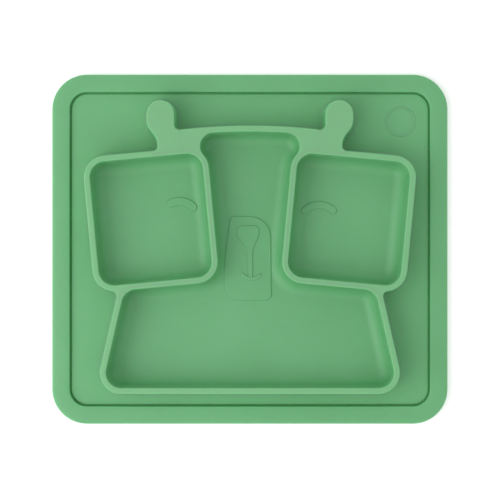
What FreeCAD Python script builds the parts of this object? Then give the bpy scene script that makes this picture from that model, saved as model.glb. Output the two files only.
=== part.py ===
import FreeCAD, Part
import math
import os
import Sketcher

# Divided suction plate for a small child: a flat mat with a raised border,
# two tilted square bowls and one T-shaped bowl standing on it, two round
# knobs, a sleepy face in low relief and four suction cups underneath.
#
# Origin: on the table, under the middle of the mat.
# +X to the user's right, +Y away from the user, +Z up.  Millimetres.

DRIVING_SIZES = [
    # alias, value, what it is
    ("mat_width", 270.0, "whole mat, left to right"),
    ("mat_length", 238.5, "whole mat, front to back"),
    ("mat_corner", 23.8, "corner radius of the mat"),
    ("mat_thickness", 3.0, "flat sheet"),
    ("mat_clearance", 1.5, "table to the sheet's underside"),
    ("border_width", 12.1, "raised border"),
    ("border_rise", 3.2, "border above the sheet"),
    ("border_round", 1.4, "rounding of the border's outer top edge"),
    ("groove_width", 1.0, "groove in the sheet along the border"),
    ("groove_depth", 1.8, "groove, below the sheet's top"),
    ("wall_thickness", 4.1, "bowl walls at their top"),
    ("wall_rise", 23.0, "wall tops above the sheet"),
    ("wall_draft", 4.0, "lean of every wall, degrees"),
    ("floor_thickness", 1.0, "bowl floor above the sheet"),
    ("bowl_width", 76.0, "square bowl, inside, across"),
    ("bowl_length", 83.2, "square bowl, inside, front to back"),
    ("bowl_corner", 10.6, "square bowl, inside corner radius"),
    ("bowl_fillet", 9.0, "square bowl, wall to floor"),
    ("bowl_tilt", 5.4, "square bowl, turn in the plan, degrees"),
    ("bowl_offset", 66.4, "square bowl centre to the middle line"),
    ("bowl_forward", 19.9, "square bowl centre beyond the origin"),
    ("base_half_width", 99.0, "main bowl, inside, at its front corners"),
    ("base_front", 92.9, "main bowl, front wall to the origin"),
    ("base_lean", 12.85, "main bowl, lean of its side walls in the plan, degrees"),
    ("base_corner", 10.2, "main bowl, front corner radius"),
    ("forehead_half_width", 33.2, "main bowl, inside, at its back corners"),
    ("forehead_corner", 8.0, "main bowl, back corner radius"),
    ("forehead_back", 78.7, "main bowl, middle of its back wall to the origin"),
    ("brow_radius", 405.0, "main bowl, long curve of its back wall"),
    ("main_fillet", 6.0, "main bowl, wall to floor"),
    ("horn_root", 47.0, "where the knob's web starts, from the middle line"),
    ("horn_inner", 50.7, "knob's inner side to the middle line"),
    ("horn_radius", 9.3, "knob's round head"),
    ("horn_top", 99.9, "knob's far end beyond the origin"),
    ("horn_crook", 3.0, "inside radius between knob and back wall"),
    ("horn_neck", 61.6, "outer side of the knob's neck"),
    ("neck_top", 83.4, "where the head starts to narrow"),
    ("neck_bottom", 71.5, "where the neck is straight again"),
    ("relief_rise", 0.6, "height of the face's low relief"),
    ("left_eye_radius", 12.5, "left eyelid, middle of its curve"),
    ("left_eye_band", 5.4, "left eyelid, width of the band"),
    ("left_eye_span", 76.0, "left eyelid, arc, degrees"),
    ("left_eye_turn", 81.0, "left eyelid, direction of its middle, degrees"),
    ("left_eye_x", -48.0, "left eyelid, centre of its curve"),
    ("left_eye_y", 20.2, "left eyelid, centre of its curve"),
    ("right_eye_radius", 13.8, "right eyelid, middle of its curve"),
    ("right_eye_band", 4.9, "right eyelid, width of the band"),
    ("right_eye_span", 89.0, "right eyelid, arc, degrees"),
    ("right_eye_turn", 90.0, "right eyelid, direction of its middle, degrees"),
    ("right_eye_x", 47.3, "right eyelid, centre of its curve"),
    ("right_eye_y", 16.5, "right eyelid, centre of its curve"),
    ("muzzle_near_left", -18.0, "muzzle panel, near left corner"),
    ("muzzle_near_right", 14.8, "muzzle panel, near right corner"),
    ("muzzle_far_left", -13.3, "muzzle panel, far left corner"),
    ("muzzle_far_right", 14.1, "muzzle panel, far right corner"),
    ("muzzle_top", 22.3, "muzzle panel's far end"),
    ("muzzle_bottom", -34.9, "muzzle panel's near end"),
    ("near_left_corner", 10.0, "muzzle panel, near left corner radius"),
    ("near_right_corner", 4.0, "muzzle panel, near right corner radius"),
    ("far_left_corner", 3.0, "muzzle panel, far left corner radius"),
    ("far_right_corner", 13.0, "muzzle panel, far right corner radius"),
    ("nose_offset", -1.2, "nose's middle line"),
    ("nose_top", 16.0, "nose, far edge"),
    ("nose_middle", 11.5, "nose, widest line"),
    ("nose_bottom", 0.8, "nose, point"),
    ("nose_top_width", 12.4, "nose, far edge"),
    ("nose_width", 14.8, "nose, widest"),
    ("nose_tip_width", 4.8, "nose, point"),
    ("lip_line_width", 3.2, "strip from nose to mouth"),
    ("lip_line_offset", 0.4, "strip's middle line"),
    ("smile_radius", 7.9, "middle of the mouth's curve"),
    ("smile_band", 2.4, "width of the mouth band"),
    ("smile_span", 98.0, "mouth's arc, degrees"),
    ("smile_offset", 1.2, "mouth's middle line"),
    ("smile_bottom", -21.4, "lowest line of the mouth"),
    ("badge_radius", 10.4, "blank round badge"),
    ("badge_band", 1.6, "width of the badge's ring"),
    ("badge_inset", 32.0, "badge centre in from the mat's far and right edges"),
    ("badge_rise", 0.4, "height of the badge's ring"),
    ("cup_radius", 18.0, "suction cup's lip, outside"),
    ("cup_lip_width", 2.4, "flat of the lip on the table"),
    ("cup_lip_height", 0.9, "lip, table to its top"),
    ("cup_skin", 0.8, "suction cup's thin dome"),
    ("cup_hub_radius", 5.0, "dome's root under the sheet"),
    ("cup_recess", 1.3, "recess in the sheet above each cup"),
    ("cup_recess_radius", 20.0, "recess, outside"),
    ("cup_inset", 40.5, "cup centres in from the mat's edges"),
]

doc = FreeCAD.newDocument("suction_plate")
sheet = doc.addObject("Spreadsheet::Sheet", "sizes")
for row, (alias, value, note) in enumerate(DRIVING_SIZES, start=1):
    sheet.set("A%d" % row, alias)
    sheet.set("B%d" % row, str(value))
    sheet.setAlias("B%d" % row, alias)
    sheet.set("C%d" % row, note)
doc.recompute()


def size(expression):
    """Value of an expression over the sheet's aliases, as written for setExpression."""
    return float(sheet.evalExpression(expression))


# Heights that several pieces share.
SHEET_TOP = "(sizes.mat_clearance + sizes.mat_thickness)"
BORDER_TOP = "(%s + sizes.border_rise)" % SHEET_TOP
WALL_TOP = "(%s + sizes.wall_rise)" % SHEET_TOP
FLOOR_TOP = "(%s + sizes.floor_thickness)" % SHEET_TOP
PANEL_TOP = "(%s + sizes.relief_rise)" % FLOOR_TOP
DOME_TOP = "(sizes.mat_clearance + sizes.cup_recess)"


def origin_plane(body, role):
    """The body's own origin plane with the given role."""
    return next(item for item in body.Origin.OriginFeatures if item.Role == role)


def new_body(name):
    """An empty PartDesign body whose label is its node name."""
    body = doc.addObject("PartDesign::Body", name)
    body.Label = name
    return body


def new_sketch(body, name, height="0"):
    """A sketch parallel to the table at the given height."""
    sketch = body.newObject("Sketcher::SketchObject", name)
    sketch.AttachmentSupport = [(origin_plane(body, "XY_Plane"), "")]
    sketch.MapMode = "FlatFace"
    sketch.setExpression("AttachmentOffset.Base.z", height)
    return sketch


def pin_point(sketch, geometry, point, x_expression, y_expression):
    """Fix a sketch point at a place worked out from the sheet."""
    for kind, expression in (("DistanceX", x_expression), ("DistanceY", y_expression)):
        if expression is None:
            continue
        index = sketch.addConstraint(
            Sketcher.Constraint(kind, -1, 1, geometry, point, size(expression))
        )
        sketch.setExpression("Constraints[%d]" % index, expression)


def draw_polygon(sketch, corners):
    """Closed outline of straight lines through corners given as expressions."""
    places = [FreeCAD.Vector(size(x), size(y), 0) for x, y in corners]
    count = len(corners)
    for index in range(count):
        line = Part.LineSegment(places[index], places[(index + 1) % count])
        sketch.addGeometry(line, False)
    for index in range(count):
        after = (index + 1) % count
        sketch.addConstraint(Sketcher.Constraint("Coincident", index, 2, after, 1))
    for index, (x, y) in enumerate(corners):
        pin_point(sketch, index, 1, x, y)


def draw_brow_outline(sketch, corners, half_width, back, radius):
    """Outline whose far side is one long arc between the first and the last corner."""
    rise = size(radius) - math.sqrt(size(radius) ** 2 - size(half_width) ** 2)
    shoulder = size(back) - rise
    left = FreeCAD.Vector(-size(half_width), shoulder, 0)
    right = FreeCAD.Vector(size(half_width), shoulder, 0)
    arc = Part.Arc(right, FreeCAD.Vector(0, size(back), 0), left)
    sketch.addGeometry(arc, False)
    places = [left]
    places += [FreeCAD.Vector(size(x), size(y), 0) for x, y in corners]
    places.append(right)
    for start, end in zip(places[:-1], places[1:]):
        sketch.addGeometry(Part.LineSegment(start, end), False)
    last = len(places) - 1
    sketch.addConstraint(Sketcher.Constraint("Coincident", 0, 2, 1, 1))
    for index in range(1, last):
        sketch.addConstraint(Sketcher.Constraint("Coincident", index, 2, index + 1, 1))
    sketch.addConstraint(Sketcher.Constraint("Coincident", last, 2, 0, 1))
    pin_point(sketch, 0, 3, "0", "%s - %s" % (back, radius))
    pin_point(sketch, 0, 1, half_width, None)
    pin_point(sketch, 0, 2, "-(%s)" % half_width, None)
    index = sketch.addConstraint(Sketcher.Constraint("Radius", 0, size(radius)))
    sketch.setExpression("Constraints[%d]" % index, radius)
    for index, (x, y) in enumerate(corners):
        pin_point(sketch, index + 2, 1, x, y)


def draw_circles(sketch, centres, radius):
    """Equal circles at centres given as expressions."""
    for index, (x, y) in enumerate(centres):
        place = FreeCAD.Vector(size(x), size(y), 0)
        circle = Part.Circle(place, FreeCAD.Vector(0, 0, 1), size(radius))
        sketch.addGeometry(circle, False)
        pin_point(sketch, index, 3, x, y)
        number = sketch.addConstraint(
            Sketcher.Constraint("Radius", index, size(radius))
        )
        sketch.setExpression("Constraints[%d]" % number, radius)


def pad(body, sketch, length, upward=True, taper=None):
    """Pad a sketch; a taper widens it (positive) or narrows it as it goes."""
    feature = body.newObject("PartDesign::Pad", body.Name + "_pad")
    feature.Profile = sketch
    feature.Reversed = not upward
    feature.setExpression("Length", length)
    if taper:
        feature.setExpression("TaperAngle", taper)
    sketch.Visibility = False
    doc.recompute()
    return feature


def pocket(body, sketch, length, upward):
    """Cut a sketch's outline out of the body, up or down from the sketch."""
    before = body.Shape.Volume
    feature = body.newObject("PartDesign::Pocket", sketch.Name + "_cut")
    feature.Profile = sketch
    feature.Reversed = upward
    feature.setExpression("Length", length)
    doc.recompute()
    if body.Shape.Volume > before - 1.0:
        raise RuntimeError(body.Name + ": the pocket removed nothing")
    return feature


def upright_edges(shape, lowest):
    """Names and upper ends of the edges that climb from one height to the shape's top."""
    found = []
    for number, edge in enumerate(shape.Edges, start=1):
        ends = [vertex.Point for vertex in edge.Vertexes]
        if len(ends) != 2:
            continue
        lower, upper = sorted(ends, key=lambda point: point.z)
        if abs(lower.z - lowest) < 1e-4 and upper.z > lower.z + 1e-4:
            found.append(("Edge%d" % number, upper))
    return found


def fillet(body, base, names, radius):
    """Round the named edges of a feature with one radius from the sheet."""
    feature = body.newObject("PartDesign::Fillet", body.Name + "_round")
    feature.Base = (base, names)
    feature.setExpression("Radius", radius)
    doc.recompute()
    return feature


def round_uprights(body, rounds, foot=None):
    """Round the upright edges nearest to corners given as expressions.

    The edges stand on the body's lowest level, or on the level given as foot.
    """
    for x, y, radius in rounds:
        base = body.Tip
        corner = FreeCAD.Vector(size(x), size(y), 0)
        heights = [vertex.Z for vertex in base.Shape.Vertexes]
        lowest = min(heights) if foot is None else size(foot)
        edges = upright_edges(base.Shape, lowest)
        name, _ = min(
            edges,
            key=lambda item: math.hypot(item[1].x - corner.x, item[1].y - corner.y),
        )
        fillet(body, base, [name], radius)


def round_level_edges(body, height, radius):
    """Round the edges that lie level at the given height."""
    names = []
    for number, edge in enumerate(body.Tip.Shape.Edges, start=1):
        box = edge.BoundBox
        level = abs(box.ZMin - size(height)) < 1e-4 and abs(box.ZMax - size(height)) < 1e-4
        if level:
            names.append("Edge%d" % number)
    return fillet(body, body.Tip, names, radius)


def rectangle(half_width, half_length):
    """Four corners of a centred rectangle, anticlockwise."""
    return [
        ("-(%s)" % half_width, "-(%s)" % half_length),
        (half_width, "-(%s)" % half_length),
        (half_width, half_length),
        ("-(%s)" % half_width, half_length),
    ]


def rectangular_slab(body, name, inset, height, thickness):
    """Pad of the mat's rectangle, inset all round; gives back its corners."""
    half_width = "sizes.mat_width / 2 - (%s)" % inset
    half_length = "sizes.mat_length / 2 - (%s)" % inset
    corners = rectangle(half_width, half_length)
    sketch = new_sketch(body, name, height)
    draw_polygon(sketch, corners)
    pad(body, sketch, thickness)
    return corners


def round_slab(body, corners, inset, foot):
    """Round a slab's upright edges so that they stay parallel to the mat's corners."""
    radius = "sizes.mat_corner - (%s)" % inset
    round_uprights(body, [(x, y, radius) for x, y in corners], foot)


def cut(name, base, tool):
    """What is left of one object after another is taken away."""
    feature = doc.addObject("Part::Cut", name)
    feature.Label = name
    feature.Base = base
    feature.Tool = tool
    doc.recompute()
    return feature


def fuse(name, pieces):
    """Several objects joined into one."""
    feature = doc.addObject("Part::MultiFuse", name)
    feature.Label = name
    feature.Shapes = pieces
    feature.Refine = True
    doc.recompute()
    return feature


def mirrored(name, source):
    """The same piece on the other side of the middle line."""
    feature = doc.addObject("Part::Mirroring", name)
    feature.Label = name
    feature.Source = source
    feature.Normal = FreeCAD.Vector(1, 0, 0)
    doc.recompute()
    return feature


# ---- mat and border -------------------------------------------------------

CUP_X = "(sizes.mat_width / 2 - sizes.cup_inset)"
CUP_Y = "(sizes.mat_length / 2 - sizes.cup_inset)"
CUP_CENTRES = [
    ("front_left", "-%s" % CUP_X, "-%s" % CUP_Y),
    ("front_right", CUP_X, "-%s" % CUP_Y),
    ("back_left", "-%s" % CUP_X, CUP_Y),
    ("back_right", CUP_X, CUP_Y),
]


def make_placemat():
    """Flat sheet inside the border, thinner along it, with a recess above each cup."""
    body = new_body("placemat")
    whole = "sizes.border_width"
    inner = "sizes.border_width + sizes.groove_width"
    base = "sizes.mat_clearance"
    groove_floor = "(%s - sizes.groove_depth)" % SHEET_TOP
    web = "sizes.mat_thickness - sizes.groove_depth"
    lower = rectangular_slab(body, "sheet_outline", whole, base, web)
    upper = rectangular_slab(
        body, "sheet_inside_groove", inner, groove_floor, "sizes.groove_depth"
    )
    round_slab(body, upper, inner, groove_floor)
    round_slab(body, lower, whole, base)
    recesses = new_sketch(body, "cup_recesses", "sizes.mat_clearance")
    centres = [(x, y) for _, x, y in CUP_CENTRES]
    draw_circles(recesses, centres, "sizes.cup_recess_radius")
    pocket(body, recesses, "sizes.cup_recess", upward=True)
    return body


def make_border():
    """Raised border round the sheet, rounded along its outer top edge."""
    body = new_body("border_rim")
    height = "%s - sizes.mat_clearance" % BORDER_TOP
    base = "sizes.mat_clearance"
    corners = rectangular_slab(body, "border_outline", "0", base, height)
    round_slab(body, corners, "0", base)
    round_level_edges(body, BORDER_TOP, "sizes.border_round")
    opening = rectangle(
        "sizes.mat_width / 2 - sizes.border_width",
        "sizes.mat_length / 2 - sizes.border_width",
    )
    inside = new_sketch(body, "border_opening", "sizes.mat_clearance")
    draw_polygon(inside, opening)
    pocket(body, inside, height, upward=True)
    round_slab(body, opening, "sizes.border_width", base)
    return body


# ---- square bowls ---------------------------------------------------------

def place_bowl(body):
    """Turn a square bowl's block in the plan and put it left of the middle line."""
    body.Placement.Rotation = FreeCAD.Rotation(FreeCAD.Vector(0, 0, 1), 1.0)
    body.setExpression("Placement.Base.x", "-sizes.bowl_offset")
    body.setExpression("Placement.Base.y", "sizes.bowl_forward")
    body.setExpression("Placement.Rotation.Angle", "sizes.bowl_tilt")
    doc.recompute()


def make_bowl_block():
    """Solid block with the square bowl's outer walls."""
    body = new_body("bowl_block")
    corners = rectangle(
        "sizes.bowl_width / 2 + sizes.wall_thickness",
        "sizes.bowl_length / 2 + sizes.wall_thickness",
    )
    sketch = new_sketch(body, "bowl_outside", WALL_TOP)
    draw_polygon(sketch, corners)
    pad(body, sketch, "sizes.wall_rise", upward=False, taper="sizes.wall_draft")
    outer = "sizes.bowl_corner + sizes.wall_thickness"
    round_uprights(body, [(x, y, outer) for x, y in corners])
    place_bowl(body)
    return body


def make_bowl_hollow():
    """The square bowl's inside, with its floor fillet."""
    body = new_body("bowl_hollow")
    corners = rectangle("sizes.bowl_width / 2", "sizes.bowl_length / 2")
    sketch = new_sketch(body, "bowl_inside", WALL_TOP)
    draw_polygon(sketch, corners)
    depth = "sizes.wall_rise - sizes.floor_thickness"
    pad(body, sketch, depth, upward=False, taper="-sizes.wall_draft")
    round_uprights(body, [(x, y, "sizes.bowl_corner") for x, y in corners])
    limited = "min(sizes.bowl_fillet; sizes.bowl_corner - 0.5)"
    round_level_edges(body, FLOOR_TOP, limited)
    place_bowl(body)
    return body


# ---- main bowl ------------------------------------------------------------

def side_wall(height, outward="0"):
    """Half width of the main bowl's leaning side at a distance beyond the origin."""
    lean = "tan(sizes.base_lean * 1deg)"
    shift = "(%s) / cos(sizes.base_lean * 1deg)" % outward
    return "(sizes.base_half_width + %s - (%s + sizes.base_front) * %s)" % (
        shift,
        height,
        lean,
    )


def main_outline(outward, neck):
    """Corners of the T-shaped outline from the far left, anticlockwise."""
    front = "(-sizes.base_front - (%s))" % outward
    middle = "sizes.bowl_forward"
    front_half = side_wall(front, outward)
    middle_half = side_wall(middle, outward)
    return [
        ("-(%s)" % neck, middle),
        ("-%s" % middle_half, middle),
        ("-%s" % front_half, front),
        (front_half, front),
        (middle_half, middle),
        (neck, middle),
    ]


def front_corners(corners, radius):
    """The two front corners of a T-shaped outline with a radius."""
    return [(x, y, radius) for x, y in (corners[2], corners[3])]


def make_main_block():
    """Solid block with the main bowl's outer walls."""
    body = new_body("main_block")
    corners = main_outline("sizes.wall_thickness", "sizes.horn_root")
    sketch = new_sketch(body, "main_outside", WALL_TOP)
    draw_brow_outline(
        sketch,
        corners,
        "sizes.horn_root",
        "sizes.forehead_back + sizes.wall_thickness",
        "sizes.brow_radius + sizes.wall_thickness",
    )
    pad(body, sketch, "sizes.wall_rise", upward=False, taper="sizes.wall_draft")
    outer = "sizes.base_corner + sizes.wall_thickness"
    round_uprights(body, front_corners(corners, outer))
    return body


def make_main_hollow():
    """The main bowl's inside, with its floor fillet."""
    body = new_body("main_hollow")
    corners = main_outline("0", "sizes.forehead_half_width")
    sketch = new_sketch(body, "main_inside", WALL_TOP)
    draw_brow_outline(
        sketch,
        corners,
        "sizes.forehead_half_width",
        "sizes.forehead_back",
        "sizes.brow_radius",
    )
    depth = "sizes.wall_rise - sizes.floor_thickness"
    pad(body, sketch, depth, upward=False, taper="-sizes.wall_draft")
    round_uprights(body, front_corners(corners, "sizes.base_corner"))
    back = "sizes.forehead_back"
    half = "sizes.forehead_half_width"
    back_corners = [("-%s" % half, back), (half, back)]
    round_uprights(body, [(x, y, "sizes.forehead_corner") for x, y in back_corners])
    limited = "min(sizes.main_fillet; sizes.forehead_corner - 1.9)"
    round_level_edges(body, FLOOR_TOP, limited)
    return body


# ---- knobs ----------------------------------------------------------------

def make_horn_block():
    """Round head, neck and the web that joins them to the walls, on the left."""
    body = new_body("horn_block")
    root = "-sizes.horn_root"
    inner = "-sizes.horn_inner"
    outer = "(-sizes.horn_inner - 2 * sizes.horn_radius - 0.1)"
    neck = "-sizes.horn_neck"
    inside = "(sizes.bowl_forward + sizes.bowl_length / 2 - 6)"
    reach = "(sizes.brow_radius + sizes.wall_thickness)"
    back = "(sizes.forehead_back + sizes.wall_thickness - sizes.horn_root^2 / (2 * %s))" % reach
    corners = [
        (root, inside),
        (root, back),
        (inner, back),
        (inner, "sizes.horn_top"),
        (outer, "sizes.horn_top"),
        (outer, "sizes.neck_top"),
        (neck, "sizes.neck_bottom"),
        (neck, inside),
    ]
    sketch = new_sketch(body, "horn_outline", WALL_TOP)
    draw_polygon(sketch, corners)
    pad(body, sketch, "sizes.wall_rise", upward=False, taper="sizes.wall_draft")
    rounds = [
        (inner, back, "sizes.horn_crook"),
        (inner, "sizes.horn_top", "sizes.horn_radius"),
        (outer, "sizes.horn_top", "sizes.horn_radius"),
        (outer, "sizes.neck_top", "sizes.horn_radius"),
        (neck, "sizes.neck_bottom", "sizes.horn_radius"),
    ]
    round_uprights(body, rounds)
    return body


# ---- face in low relief ---------------------------------------------------

def cylinder(name, radius, height, x, y, z, sector=None, start=None):
    """Upright cylinder, or a sector of one that starts at a turn in degrees."""
    feature = doc.addObject("Part::Cylinder", name)
    feature.setExpression("Radius", radius)
    feature.setExpression("Height", height)
    feature.setExpression("Placement.Base.x", x)
    feature.setExpression("Placement.Base.y", y)
    feature.setExpression("Placement.Base.z", z)
    if sector:
        feature.setExpression("Angle", sector)
        feature.Placement.Rotation = FreeCAD.Rotation(FreeCAD.Vector(0, 0, 1), 1.0)
        feature.setExpression("Placement.Rotation.Angle", start)
    return feature


def arc_band(name, radius, width, rise, span, x, y, z, middle):
    """Curved band with round ends, bent about (x, y), centred on a turn in degrees."""
    start = "(%s - (%s) / 2)" % (middle, span)
    finish = "(%s + (%s) / 2)" % (middle, span)
    outer = cylinder(
        name + "_outside", "%s + %s / 2" % (radius, width), rise, x, y, z, span, start
    )
    inner = cylinder(name + "_inside", "%s - %s / 2" % (radius, width), rise, x, y, z)
    band = cut(name + "_band", outer, inner)
    ends = []
    for side, angle in (("start", start), ("finish", finish)):
        end_x = "%s + (%s) * cos(%s * 1deg)" % (x, radius, angle)
        end_y = "%s + (%s) * sin(%s * 1deg)" % (y, radius, angle)
        end = cylinder(name + "_" + side, "%s / 2" % width, rise, end_x, end_y, z)
        ends.append(end)
    return fuse(name, [band] + ends)


def prism(name, corners, radii, height, rise):
    """Upright prism on a polygon, with each upright edge rounded by its own radius."""
    body = new_body(name)
    sketch = new_sketch(body, name + "_outline", height)
    draw_polygon(sketch, corners)
    pad(body, sketch, rise)
    round_uprights(body, [(x, y, r) for (x, y), r in zip(corners, radii)])
    return body


def make_muzzle():
    """Low panel on the main bowl's floor."""
    names = ["near_right", "far_right", "far_left", "near_left"]
    ends = ["bottom", "top", "top", "bottom"]
    corners = [
        ("sizes.muzzle_" + name, "sizes.muzzle_" + end)
        for name, end in zip(names, ends)
    ]
    radii = ["sizes.%s_corner" % name for name in names]
    return prism("muzzle_panel", corners, radii, FLOOR_TOP, "sizes.relief_rise")


def make_nose(smile):
    """Nose with the narrow strip that runs from it to the mouth and ends on its curve."""
    rows = [
        ("sizes.nose_tip_width", "sizes.nose_bottom"),
        ("sizes.nose_width", "sizes.nose_middle"),
        ("sizes.nose_top_width", "sizes.nose_top"),
    ]
    corners = [("sizes.nose_offset + %s / 2" % width, y) for width, y in rows]
    corners += [("sizes.nose_offset - %s / 2" % width, y) for width, y in rows[::-1]]
    tip, side, far = "sizes.nose_tip_width / 4", "sizes.nose_width / 6", "sizes.nose_width / 8"
    radii = [tip, side, far, far, side, tip]
    pick = prism("nose_pick", corners, radii, PANEL_TOP, "sizes.relief_rise")
    strip = doc.addObject("Part::Box", "lip_line")
    smile_top = "(sizes.smile_bottom + sizes.smile_band)"
    overlap = "sizes.lip_line_width"
    strip.setExpression("Width", "sizes.nose_bottom + %s - %s" % (overlap, smile_top))
    strip.setExpression("Length", "sizes.lip_line_width")
    strip.setExpression("Height", "sizes.relief_rise")
    strip.setExpression(
        "Placement.Base.x", "sizes.lip_line_offset - sizes.lip_line_width / 2"
    )
    strip.setExpression("Placement.Base.y", smile_top)
    strip.setExpression("Placement.Base.z", PANEL_TOP)
    return cut("nose", fuse("nose_and_strip", [pick, strip]), smile)


def make_smile():
    """Curved mouth at the foot of the strip."""
    centre_y = "(sizes.smile_bottom + sizes.smile_band / 2 + sizes.smile_radius)"
    return arc_band(
        "smile",
        "sizes.smile_radius",
        "sizes.smile_band",
        "sizes.relief_rise",
        "sizes.smile_span",
        "sizes.smile_offset",
        centre_y,
        PANEL_TOP,
        "270",
    )


def make_eyelid(side, bowl):
    """Closed eyelid on a square bowl's floor, trimmed where the floor curves up."""
    own = "sizes.%s_eye_" % side
    band = arc_band(
        side + "_eyelid_band",
        own + "radius",
        own + "band",
        "sizes.relief_rise",
        own + "span",
        own + "x",
        own + "y",
        FLOOR_TOP,
        own + "turn",
    )
    return cut(side + "_eyelid", band, bowl)


def make_badge():
    """Plain blank ring near the mat's far right corner."""
    x = "(sizes.mat_width / 2 - sizes.badge_inset)"
    y = "(sizes.mat_length / 2 - sizes.badge_inset)"
    place = (x, y, SHEET_TOP)
    disc = cylinder("badge_disc", "sizes.badge_radius", "sizes.badge_rise", *place)
    inside = "sizes.badge_radius - sizes.badge_band"
    hole = cylinder("badge_hole", inside, "sizes.badge_rise", *place)
    return cut("blank_badge", disc, hole)


# ---- suction cups ---------------------------------------------------------

def revolve(name, profile, x, y):
    """Turn a closed (radius, height) profile, given as expressions, about an upright axis."""
    body = new_body(name)
    sketch = body.newObject("Sketcher::SketchObject", name + "_profile")
    sketch.AttachmentSupport = [(origin_plane(body, "XZ_Plane"), "")]
    sketch.MapMode = "FlatFace"
    draw_polygon(sketch, profile)
    feature = body.newObject("PartDesign::Revolution", name + "_turned")
    feature.Profile = sketch
    feature.ReferenceAxis = (sketch, ["V_Axis"])
    feature.Angle = 360.0
    body.setExpression("Placement.Base.x", x)
    body.setExpression("Placement.Base.y", y)
    doc.recompute()
    return body


def make_cup(corner, x, y):
    """One suction cup: a thin dome under the sheet and the lip that grips the table."""
    lip_inside = "(sizes.cup_radius - sizes.cup_lip_width)"
    lip = revolve(
        "suction_lip_" + corner,
        [
            (lip_inside, "0"),
            ("sizes.cup_radius", "0"),
            ("sizes.cup_radius", "sizes.cup_lip_height"),
            (lip_inside, "sizes.cup_lip_height"),
        ],
        x,
        y,
    )
    edge = "(sizes.cup_radius - sizes.cup_lip_width / 4)"
    dome = revolve(
        "suction_dome_" + corner,
        [
            ("0", "%s - 2 * sizes.cup_skin" % DOME_TOP),
            ("sizes.cup_hub_radius", "%s - 2 * sizes.cup_skin" % DOME_TOP),
            (lip_inside, "sizes.cup_lip_height"),
            (edge, "sizes.cup_lip_height"),
            ("sizes.cup_hub_radius", "%s - sizes.cup_skin" % DOME_TOP),
            ("sizes.cup_hub_radius - sizes.cup_skin", DOME_TOP),
            ("0", DOME_TOP),
        ],
        x,
        y,
    )
    return [lip, dome]


# ---- the whole plate ------------------------------------------------------

bowl_block = make_bowl_block()
bowl_hollow = make_bowl_hollow()
right_block = mirrored("right_block", bowl_block)
main_block = make_main_block()
main_hollow = make_main_hollow()
horn_block = make_horn_block()

left_bowl = cut("left_bowl", bowl_block, bowl_hollow)
right_bowl = mirrored("right_bowl", left_bowl)
shoulders = cut("main_less_left", main_block, bowl_block)
middle = cut("main_less_both", shoulders, right_block)
main_bowl = cut("main_bowl", middle, main_hollow)
horn_and_web = cut("horn_and_web", horn_block, bowl_block)
left_horn = cut("left_horn", horn_and_web, main_block)
smile = make_smile()

nodes = [
    make_placemat(),
    make_border(),
    left_bowl,
    right_bowl,
    main_bowl,
    left_horn,
    mirrored("right_horn", left_horn),
    make_eyelid("left", left_bowl),
    make_eyelid("right", right_bowl),
    make_muzzle(),
    make_nose(smile),
    smile,
    make_badge(),
]
for corner, x, y in CUP_CENTRES:
    nodes += make_cup(corner, x, y)
doc.recompute()

for item in doc.Objects:
    if "Invalid" in item.State or "Error" in item.State:
        raise RuntimeError("%s failed to build: %s" % (item.Name, item.State))
for node in nodes:
    shape = node.Shape
    if shape.isNull() or not shape.isValid() or not shape.Solids:
        raise RuntimeError(node.Label + " has no valid solid")

os.makedirs("parts", exist_ok=True)
for node in nodes:
    node.Shape.exportStep("parts/%s.step" % node.Label)
    box = node.Shape.BoundBox
    print(
        "%-26s solids %d  volume %10.1f  x %7.2f %7.2f  y %7.2f %7.2f  z %6.2f %6.2f"
        % (
            node.Label,
            len(node.Shape.Solids),
            node.Shape.Volume,
            box.XMin,
            box.XMax,
            box.YMin,
            box.YMax,
            box.ZMin,
            box.ZMax,
        )
    )
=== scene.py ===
import math

import bmesh
import bpy
import numpy as np
from bpy.props import FloatProperty, FloatVectorProperty, PointerProperty
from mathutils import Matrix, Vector
from mathutils.geometry import delaunay_2d_cdt


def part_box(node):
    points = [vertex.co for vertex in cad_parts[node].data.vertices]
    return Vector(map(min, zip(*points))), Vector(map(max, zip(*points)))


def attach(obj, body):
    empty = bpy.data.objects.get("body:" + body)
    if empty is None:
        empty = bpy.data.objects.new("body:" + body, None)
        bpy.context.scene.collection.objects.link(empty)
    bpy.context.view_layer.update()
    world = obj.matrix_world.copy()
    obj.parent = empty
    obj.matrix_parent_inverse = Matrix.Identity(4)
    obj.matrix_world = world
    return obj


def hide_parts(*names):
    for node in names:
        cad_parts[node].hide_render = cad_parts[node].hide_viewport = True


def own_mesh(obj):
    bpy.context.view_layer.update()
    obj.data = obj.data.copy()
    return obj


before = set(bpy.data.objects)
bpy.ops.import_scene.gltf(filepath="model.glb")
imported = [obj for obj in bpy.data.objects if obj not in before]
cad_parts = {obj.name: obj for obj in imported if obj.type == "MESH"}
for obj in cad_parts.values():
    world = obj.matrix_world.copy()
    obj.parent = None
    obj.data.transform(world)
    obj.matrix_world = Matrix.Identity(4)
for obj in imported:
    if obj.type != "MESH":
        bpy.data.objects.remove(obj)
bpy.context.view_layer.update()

bl_info = {
    "name": "Divided suction plate",
    "version": (1, 0, 0),
    "blender": (4, 5, 0),
    "location": "3D View > Sidebar > Plate",
    "description": "Moulded silicone plate with three bowls, a face and suction cups",
    "category": "Add Mesh",
}

SHEET_LOW, SHEET_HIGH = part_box("placemat")
BORDER_LOW, BORDER_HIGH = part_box("border_rim")
WALL_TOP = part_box("left_bowl")[1].z
PANEL_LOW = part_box("muzzle_panel")[0]
BADGE_LOW, BADGE_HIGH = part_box("blank_badge")
CUPS = ("front_left", "front_right", "back_left", "back_right")
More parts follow.
